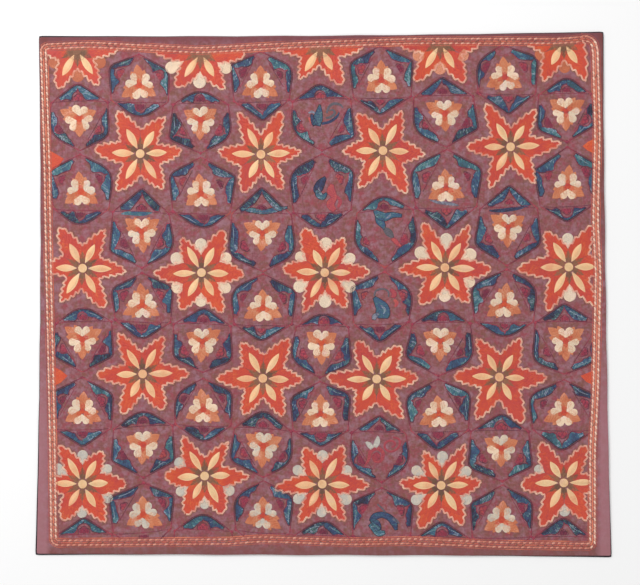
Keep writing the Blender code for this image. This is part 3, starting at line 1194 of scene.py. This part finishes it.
LEAF_IN = 2.2  # the leaves start this far inside the claret frame
LEAF_FROM = (0.18, 0.31)  # the point of a leaf, along the frame from its corner (0) to the peak (1)
LEAF_FLOOR = 3.6  # their inner edge is this far out from the peak's side
LEAF_LOBE = 4.6  # and swings up to this much further out
LEAF_DEPTH = (9.0, 19.0)  # a leaf is at most this deep in its middle
CREST_DEPTH = (3.0, 7.5)  # and this deep at the peak
BUD_ROOM = (2.6, 6.0)  # a leaf keeps this far from the bud
LEAF_STEPS = 18
LEAF_SLANTS = (-36.0, -24.0, 20.0)  # of its threads, from the peak's side
CROWN_OUT = 14.0  # a peak whose crown is further outside the border than this has no leaves
LEAF_THINNEST = 0.2
LIGHT_SHARE = 0.45  # of the leaves that have a pale line along their middle
LIGHT_IN, LIGHT_STEPS = 0.35, slice(3, 14)  # it lies this share of the depth in, and covers these steps


def point_at(path, share):
    """The point at a share of the length of a path."""
    lengths = [math.dist(a, b) for a, b in zip(path, path[1:])]
    left = share * sum(lengths)
    for (a, b), length in zip(zip(path, path[1:]), lengths):
        if left <= length:
            return mix(a[0], b[0], left / length), mix(a[1], b[1], left / length)
        left -= length
    return path[-1]


class Leaf:
    """One leaf of a peak, from its point to the peak's top, in places of the peak."""

    def __init__(self, peak, side, draw):
        half_arch = peak.arch[:len(peak.arch) // 2 + 1]
        if side > 0:
            half_arch = peak.arch[:len(peak.arch) // 2 - 1:-1]
        shares = [step / LEAF_STEPS for step in range(LEAF_STEPS + 1)]
        first = draw.uniform(*LEAF_FROM)
        spine = [point_at(half_arch, mix(first, 1.0, share)) for share in shares]
        self.outer = outset(spine, [side * LEAF_IN] * len(spine))
        phase, lobes, swing = draw.uniform(0.0, 1.0), draw.uniform(0.8, 1.8), draw.uniform(0.3, 1.0)
        clear = peak.bud_half + draw.uniform(*BUD_ROOM)
        most, least = draw.uniform(*LEAF_DEPTH), draw.uniform(*CREST_DEPTH)
        self.inner, self.middle = [], []
        for share, (along, out) in zip(shares, self.outer):
            wave = math.sin(math.pi * (lobes * share + phase)) ** 2 * ease(share * 2.5)
            depth = most * math.sin(math.pi * min(share, 0.999) ** 0.8) ** 0.5 + least * share
            floor = max(LEAF_FLOOR, out - depth) + LEAF_LOBE * swing * wave
            beside = abs(along - peak.bud[0])
            if beside < clear:
                floor = max(floor, peak.bud[1] + math.sqrt(clear * clear - beside * beside))
            self.inner.append((along, min(floor, out - LEAF_THINNEST)))
            self.middle.append((along, mix(out, min(floor, out), LIGHT_IN)))
        self.light = draw.random() < LIGHT_SHARE

    def outline(self):
        return self.outer + self.inner[::-1]


blue_silk = silk(
    "mixed_blue_silk",
    [(0.0, "#2a2031"), (0.2, "#353a62"), (0.42, "#3b5d7f"), (0.62, "#407272"), (0.82, "#709793"),
     (1.0, "#acb5c8")],
)


def blue_tone(x, y):
    """Blues change from stitch to stitch, so the leaves look flecked."""
    drift = noise.noise(Vector((x / 13.0, y / 13.0, 5.5)))
    fleck = noise.noise(Vector((x / 2.8, y / 2.8, 8.5)))
    return min(max(0.44 + 0.75 * drift + 0.6 * fleck, 0.0), 0.95)


blue_beds = {"head": Bed(51), "foot": Bed(52)}
vein_bed = Bed(55)
for edged in frames:
    bed = blue_beds["head" if edged.middle[1] > 0 else "foot"]
    for peak in edged.peaks:
        if not inside(*peak.laid([peak.crown[len(peak.crown) // 2]])[0], -CROWN_OUT):
            continue
        for side in (-1, 1):
            leaf = Leaf(peak, side, edged.draw)
            slant = peak.way + side * edged.draw.choice(LEAF_SLANTS)
            outline = peak.laid(leaf.outline())
            bed.satin(outline, FRAME_MARGIN, slant, blue_tone, length=4.0, lift=0.2, mixed=0.25)
            outer, middle, inner = (peak.laid(path) for path in (leaf.outer, leaf.middle, leaf.inner))
            line = {"pitch": 3.0, "wide": 2.0, "slant": 5.0, "margin": FRAME_MARGIN}
            stem(bed, outer, lambda x, y: 0.0, lift=0.26, **line)
            if leaf.light:
                stem(bed, middle[LIGHT_STEPS], lambda x, y: 0.9, lift=0.3, pitch=3.4, wide=1.1,
                     margin=FRAME_MARGIN)
            stem(vein_bed, inner, patchy(18.0, 6, high=0.6), lift=0.28, **line)
for half, bed in blue_beds.items():
    sew("blue_leaves_" + half, bed, blue_silk)
sew("claret_leaf_lines", vein_bed, claret_silk)

# ---------------------------------------------------------------- sprigs
# In the middle of each frame three orange leaves, each with three points, point to its corners and
# three cream hearts to its peaks, around a red eye, all in satin stitch.

ODD_FRAMES = {("down", 0, 2), ("up", 1, 1), ("down", 1, 2), ("up", 2, 2), ("down", 3, 2), ("up", 4, 2)}
HEART_TIP, HEART_REACH, HEART_SIDE, HEART_LOBE = 4.6, 14.8, 6.5, 6.1
ORANGE_REACH, ORANGE_HALF, ORANGE_SLANT = 34.0, 7.0, 10.0
ORANGE_POINTS = ((-25.0, 0.77), (25.0, 0.77), (0.0, 1.0))  # a leaf's three points: turn, size
EYE_HALF = (3.8, 6.0)
EYE_LOBE, EYE_LOBE_HALF = (9.0, 14.0), 3.6  # it has a lobe towards each corner, between two hearts
HAND_TURN = 6.0  # a leaf or a heart is turned from its direction by up to this
SPRIG_MARGIN = 12.0  # a sprig's middle is at least this far inside the border's middle line
GREY_FROM, GREY_OVER, GREY_MOST = -180.0, 120.0, 0.3  # below this the hearts turn greyer


def heart_outline(right, left):
    """A heart along +X with its tip at the middle; right and left scale its two lobes."""
    def lobe(size):
        points = (polar(HEART_LOBE * size, a) for a in range(-120, 81, 20))
        return [(HEART_REACH + px, min(-HEART_SIDE + py, 0.0)) for px, py in points]
    return [(HEART_TIP, 0.0)] + lobe(right) + [(x, -y) for x, y in lobe(left)[::-1]]


orange_bed, heart_bed, eye_bed = Bed(61), Bed(62), Bed(63)
for edged in frames:
    if edged.key in ODD_FRAMES or not inside(*edged.middle, SPRIG_MARGIN):
        continue
    mx, my = edged.middle
    draw = edged.draw
    grey = ease((GREY_FROM - my) / GREY_OVER) * GREY_MOST
    for k in range(3):
        way = heading((mx, my), edged.corners[k]) + draw.uniform(-HAND_TURN, HAND_TURN)
        reach = ORANGE_REACH * draw.uniform(0.85, 1.05)
        for turn, size in ORANGE_POINTS:
            leaf = leaf_outline(3.0, reach * size, ORANGE_HALF * size, 0.56)
            outline, slant = placed(leaf, mx, my, way + turn), way + turn + ORANGE_SLANT
            lift = 0.1 + 0.08 * size  # the long point lies over the short ones
            orange_bed.satin(outline, FRAME_MARGIN, slant, patchy(11.0, 7, low=0.3), 7.0, lift)
        lobe = leaf_outline(1.0, draw.uniform(*EYE_LOBE), EYE_LOBE_HALF, 0.6)
        lobe = placed(lobe, mx, my, way)
        eye_bed.satin(lobe, FRAME_MARGIN, way, red_tone, length=6.0, lift=0.24, pitch=FINE_PITCH)
        way = heading((mx, my), edged.peaks[k].base) + draw.uniform(-HAND_TURN, HAND_TURN)
        heart = heart_outline(draw.uniform(0.86, 1.12), draw.uniform(0.86, 1.12))
        tone = patchy(9.0, 8, 0.5 - grey, 1.0 - grey)
        heart = placed(heart, mx, my, way)
        heart_bed.satin(heart, FRAME_MARGIN, way + 90.0, tone, length=7.5, lift=0.3, pitch=FINE_PITCH)
    eye = disc(mx, my, draw.uniform(*EYE_HALF), 9)
    eye_bed.satin(eye, FRAME_MARGIN, 20.0, red_tone, length=12.0, lift=0.34, pitch=FINE_PITCH)
sew("orange_leaves", orange_bed, orange_silk)
sew("cream_hearts", heart_bed, cream_silk, thread_height=0.9)
sew("red_eyes", eye_bed, vermilion, thread_height=0.9)

# ---------------------------------------------------------------- palmettes, scrolls and bars
# Six frames near the middle hold no sprig, but each a palmette or a scroll of its own in blues,
# grey or brick red. Over four sprigs a blue bar closes the peak. All are broad strokes that swell
# and taper, filled in satin stitch.

STROKE_SLANT = 20.0
STROKE_EDGED = 6.8  # a stroke that is wider than this has a line in its darkest tone around it

# A stroke runs through points (x, y, width), in millimetres from the middle of the cloth.
STROKES = [
    # silk, lowest tone, highest tone, points
    ("blue", 0.4, 0.7, [(-6, 303, 2), (-7, 292, 10), (-9, 281, 15), (-11, 270, 11)]),
    ("blue", 0.2, 0.45, [(-19, 288, 3), (-17, 279, 7), (-13, 271, 8)]),
    ("blue", 0.1, 0.35, [(-3, 273, 4), (10, 276, 4.4), (21, 284, 4), (25, 291, 2)]),
    ("slate", 0.0, 0.3, [(4, 282, 3), (12, 284, 4.4), (18, 290, 4), (15, 295, 3), (9, 294, 2)]),
    ("slate", 0.0, 0.4, [(5, 290, 3), (9, 300, 4), (17, 305, 4.4), (27, 303, 3.4), (31, 298, 2)]),
    ("slate", 0.7, 1.0, [(-24, 290, 2), (-18, 292, 4), (-13, 289, 2)]),
    ("brick", 0.7, 1.0, [(-24, 283, 2), (-21, 278, 3.4), (-21, 273, 1.5)]),
    ("blue", 0.0, 0.3, [(3, 187, 4), (-4, 178, 13), (-9, 168, 14), (-9, 162, 8)]),
    ("blue", 0.55, 0.85, [(-11, 167, 4), (-8, 160, 10), (-1, 156, 9), (5, 162, 3)]),
    ("slate", 0.9, 1.0, [(-8, 171, 2), (-6, 164, 4), (-2, 159, 2)]),
    ("brick", 0.35, 1.0, [(14, 176, 5), (12, 166, 13), (17, 155, 9), (11, 144, 13), (18, 134, 7)]),
    ("brick", 0.1, 0.6, [(20, 158, 3), (27, 149, 6), (23, 139, 4)]),
    ("blue", 0.4, 0.75, [(81, 135, 4), (89, 127, 13), (98, 124, 13), (110, 127, 9), (125, 126, 5)]),
    ("blue", 0.3, 0.7, [(85, 126, 6), (90, 118, 13), (95, 110, 8), (97, 104, 2)]),
    ("slate", 0.0, 0.25, [(96, 106, 3), (101, 102, 9), (106, 97, 10), (111, 91, 3)]),
    ("slate", 0.9, 1.0, [(99, 121, 1.5), (105, 125, 3.4), (108, 130, 1.5)]),
    ("brick", 0.4, 0.9, [(109, 89, 3), (114, 86, 7), (119, 81, 6), (124, 77, 3)]),
    ("blue", 0.35, 0.7, [(81, -5, 5), (87, -12, 13), (94, -22, 21), (95, -32, 22), (95, -38, 15)]),
    ("slate", 0.8, 1.0, [(91, -17, 2), (98, -24, 4), (96, -31, 2)]),
    ("slate", 0.7, 1.0, [(88, -30, 4), (82, -35, 8), (80, -40, 5)]),
    ("slate", 0.1, 0.5, [(81, -3, 2.8), (84, 6, 2.8), (95, 9, 2.6), (103, 5, 2.6), (104, -4, 2)]),
    ("brick", 0.2, 0.7, [(107, 8, 4), (113, 2, 8), (111, -5, 6)]),
    ("brick", 0.5, 1.0, [(113, -8, 4), (117, -14, 6), (114, -20, 3)]),
    ("cream", 0.0, 0.25, [(68, -236, 2), (73, -240, 7), (78, -246, 6)]),
    ("cream", 0.0, 0.25, [(87, -227, 2), (86, -235, 8), (82, -244, 6)]),
    ("brick", 0.0, 0.4, [(78, -262, 6), (84, -259, 12), (88, -254, 7)]),
    ("brick", 0.2, 0.7, [(66, -274, 2), (72, -264, 4.5), (75, -252, 6), (84, -246, 6), (93, -250, 6),
                         (95, -258, 5.5), (91, -266, 5), (83, -267, 4), (79, -260, 5), (82, -255, 5)]),
    ("brick", 0.0, 0.5, [(109, -244, 3), (114, -241, 3.4), (112, -235, 3.4), (104, -234, 3.4),
                         (98, -239, 3.4), (99, -247, 3.4), (107, -251, 3.4), (116, -248, 3.4),
                         (122, -240, 3.6), (120, -231, 3.6), (111, -228, 3)]),
    ("blue", 0.15, 0.5, [(75, -362, 5), (82, -355, 10), (94, -352, 9), (106, -357, 10),
                         (113, -366, 10), (116, -376, 4)]),
    ("blue", 0.2, 0.6, [(76, -359, 6), (84, -367, 13), (88, -377, 9)]),
    ("blue", 0.5, 0.85, [(75, -366, 9), (83, -374, 13), (89, -381, 11), (98, -380, 5)]),
    ("slate", 0.2, 0.5, [(110, -358, 4), (116, -361, 5), (121, -366, 2)]),
    ("slate", 0.1, 0.4, [(100, -350, 3), (94, -342, 2.6), (86, -335, 2)]),
    ("blue", 0.35, 0.8, [(-323, 129, 2), (-310, 130, 6.5), (-288, 129, 6.5), (-274, 131, 2)]),
    ("blue", 0.35, 0.85, [(-132, 137, 3), (-116, 135, 7.5), (-95, 132, 7), (-75, 136, 8), (-58, 139, 3)]),
    ("blue", 0.1, 0.45, [(265, 134, 2), (280, 134, 5.6), (306, 137, 5.6), (328, 142, 2)]),
    ("slate", 0.4, 0.9, [(170, 151, 2), (185, 147, 5), (203, 145, 5), (216, 142, 2)]),
]


def smoothed(points, steps=5):
    """Points along a smooth curve through the given ones; every coordinate is carried along."""
    full = [points[0]] + points + [points[-1]]
    out = []
    for k in range(1, len(full) - 2):
        for step in range(steps):
            t = step / steps
            weights = (
                -0.5 * t + t * t - 0.5 * t ** 3, 1.0 - 2.5 * t * t + 1.5 * t ** 3,
                0.5 * t + 2.0 * t * t - 1.5 * t ** 3, -0.5 * t * t + 0.5 * t ** 3,
            )
            out.append(tuple(
                sum(weight * full[k - 1 + n][axis] for n, weight in enumerate(weights))
                for axis in range(len(points[0]))
            ))
    return out + [points[-1]]


def stroke_outline(points):
    """The closed outline of a stroke with a width at each point."""
    curve = smoothed(points)
    spine = [(x, y) for x, y, _ in curve]
    left = outset(spine, [width / 2.0 for _, _, width in curve])
    right = outset(spine, [-width / 2.0 for _, _, width in curve])
    return left + right[::-1]


slate_silk = silk("slate_silk", [(0.0, "#5a5458"), (0.5, "#746a7c"), (1.0, "#a6b0c0")])
brick_silk = silk("brick_silk", [(0.0, "#98384a"), (0.5, "#b44650"), (1.0, "#cc6650")])

stroke_beds = {"blue": Bed(64), "slate": Bed(65), "brick": Bed(66), "cream": Bed(67)}
for kind, low, high, points in STROKES:
    bed, outline = stroke_beds[kind], stroke_outline(points)
    slant = heading(points[0][:2], points[-1][:2]) + STROKE_SLANT
    tone = patchy(4.0, 15, low, high)
    bed.satin(outline, FRAME_MARGIN, slant, tone, length=4.5, lift=0.22, mixed=0.15)
    if max(width for _, _, width in points) > STROKE_EDGED:
        edge = trimmed(outline, FRAME_MARGIN)
        stem(bed, edge + edge[:1], lambda x, y: 0.0, lift=0.3, pitch=2.6, margin=FRAME_MARGIN)
sew("blue_palmettes_and_bars", stroke_beds["blue"], blue_silk)
sew("slate_scrolls", stroke_beds["slate"], slate_silk)
sew("brick_scrolls", stroke_beds["brick"], brick_silk)
sew("grey_tulip", stroke_beds["cream"], cream_silk)

# ---------------------------------------------------------------- border
# Five lines of stitching frame the field: an orange-red line, a twisted pink and red line, a row
# of dark olive dashes on red, a second twisted line and a second, thinner orange-red one.

RED_LINE_OFF, PINK_LINE_OFF = 7.0, 3.7
RED_LINE_WIDE = {1: 1.5, -1: 2.8}  # outside the field, and inside
RED_PITCH, RED_LONG, RED_LEAN = 3.4, 5.2, 8.0
TWIST_PITCH, TWIST_LONG, TWIST_WIDE, TWIST_LEAN = 4.6, 7.0, 3.8, 13.0
FILL_PITCH, FILL_LONG, FILL_WIDE = 3.2, 5.0, 4.6
DASH_PITCH, DASH_LONG, DASH_WIDE = 11.6, 7.4, 2.4
DASH_TURN = 12.0
LINE_DRIFT = 0.15  # of the tone, from stitch to stitch
BORDER_STEP = 20.0
EDGE_MARGIN = 1.4  # no stitch comes closer to the cloth's edge
BORDER_LOOKS = {
    # side: tones of the twist's two kinds of stitch, lowest tone between, share of dashes
    "left": (0.4, 0.85, 0.6, 0.8),
    "right": (0.4, 0.85, 0.8, 0.35),
    "foot": (0.0, 0.35, 0.25, 0.9),
    "head": (0.08, 0.42, 0.3, 0.95),
}


def border_look(x, y):
    """The look of the side of the border that a place is nearest to."""
    gaps = [abs(gap) for gap in room(x, y)]
    return BORDER_LOOKS[("left", "right", "foot", "head")[gaps.index(min(gaps))]]


def border_corner(upright, level):
    """Where the middle lines of two sides of the border meet."""
    x = y = 0.0
    for _ in range(SETTLE_STEPS):
        x, y = between(BORDER[upright], y), between(BORDER[level], x)
    return x, y


def side_points(side, start, end):
    """Points along a side's middle line between two corners, without the corners."""
    run = SIDES[side][2]
    steps = round(abs(end[run] - start[run]) / BORDER_STEP)
    places = [mix(start[run], end[run], k / steps) for k in range(1, steps)]
    if run == 1:
        return [(between(BORDER[side], place), place) for place in places]
    return [(place, between(BORDER[side], place)) for place in places]


def border_loop(offset):
    """The border's middle line all round, clockwise, moved outwards by an offset."""
    turns = [
        # the side that leads to the corner, the corner, how far its round starts before it
        ("left", border_corner("left", "head"), 9.0),
        ("head", border_corner("right", "head"), 20.0),
        ("right", border_corner("right", "foot"), 9.0),
        ("foot", border_corner("left", "foot"), 9.0),
    ]
    loop = []
    for k, (side, corner, reach) in enumerate(turns):
        before, after = turns[k - 1][1], turns[(k + 1) % 4][1]
        loop += side_points(side, before, corner)
        loop += bent(before, corner, after, reach)
    loop = loop + loop[:2]
    return outset(loop, [offset] * len(loop))[1:]


orange_red = silk("orange_red_silk", [(0.0, "#96504c"), (0.5, "#bc5a4a"), (1.0, "#dc7a5c")])
twist_silk = silk(
    "twisted_pink_silk", [(0.0, "#b45c4e"), (0.35, "#dc8e78"), (0.65, "#f0b29c"), (1.0, "#fbd8c0")]
)
dash_silk = silk("dark_dash_silk", [(0.0, "#50382e"), (0.5, "#6e5040"), (1.0, "#96705a")])

line_bed, twist_bed, dash_bed = Bed(71), Bed(72), Bed(73)
for sign in (1, -1):
    for x, y, way in walked(border_loop(sign * RED_LINE_OFF), RED_PITCH):
        if edge_distance(x, y) > EDGE_MARGIN:
            shade = patchy(40.0, 9)(x, y) + line_bed.draw.uniform(-LINE_DRIFT, LINE_DRIFT)
            line_bed.stitch(x, y, 0.15, way + RED_LEAN, RED_LONG, RED_LINE_WIDE[sign], shade)
    for step, (x, y, way) in enumerate(walked(border_loop(sign * PINK_LINE_OFF), TWIST_PITCH)):
        if edge_distance(x, y) > EDGE_MARGIN:
            shade = border_look(x, y)[step % 2] + twist_bed.draw.uniform(-LINE_DRIFT, LINE_DRIFT)
            twist_bed.stitch(x, y, 0.3, way + TWIST_LEAN, TWIST_LONG, TWIST_WIDE, shade)
for x, y, way in walked(border_loop(0.0), FILL_PITCH):
    low = border_look(x, y)[2]
    shade = patchy(30.0, 16, low, low + 0.5)(x, y)
    turn = way + dash_bed.draw.uniform(-DASH_TURN, DASH_TURN)
    line_bed.stitch(x, y, 0.06, turn, FILL_LONG, FILL_WIDE, shade)
for x, y, way in walked(border_loop(0.0), DASH_PITCH):
    long, shade = DASH_LONG * dash_bed.draw.uniform(0.7, 1.2), dash_bed.draw.uniform(0, 1)
    if dash_bed.draw.random() < border_look(x, y)[3]:
        turn = way + dash_bed.draw.uniform(-DASH_TURN, DASH_TURN)
        dash_bed.stitch(x, y, 0.2, turn, long, DASH_WIDE, shade)
sew("border_red_lines", line_bed, orange_red)
sew("border_twisted_lines", twist_bed, twist_silk, thread_height=1.1)
sew("border_dashes", dash_bed, dash_silk)
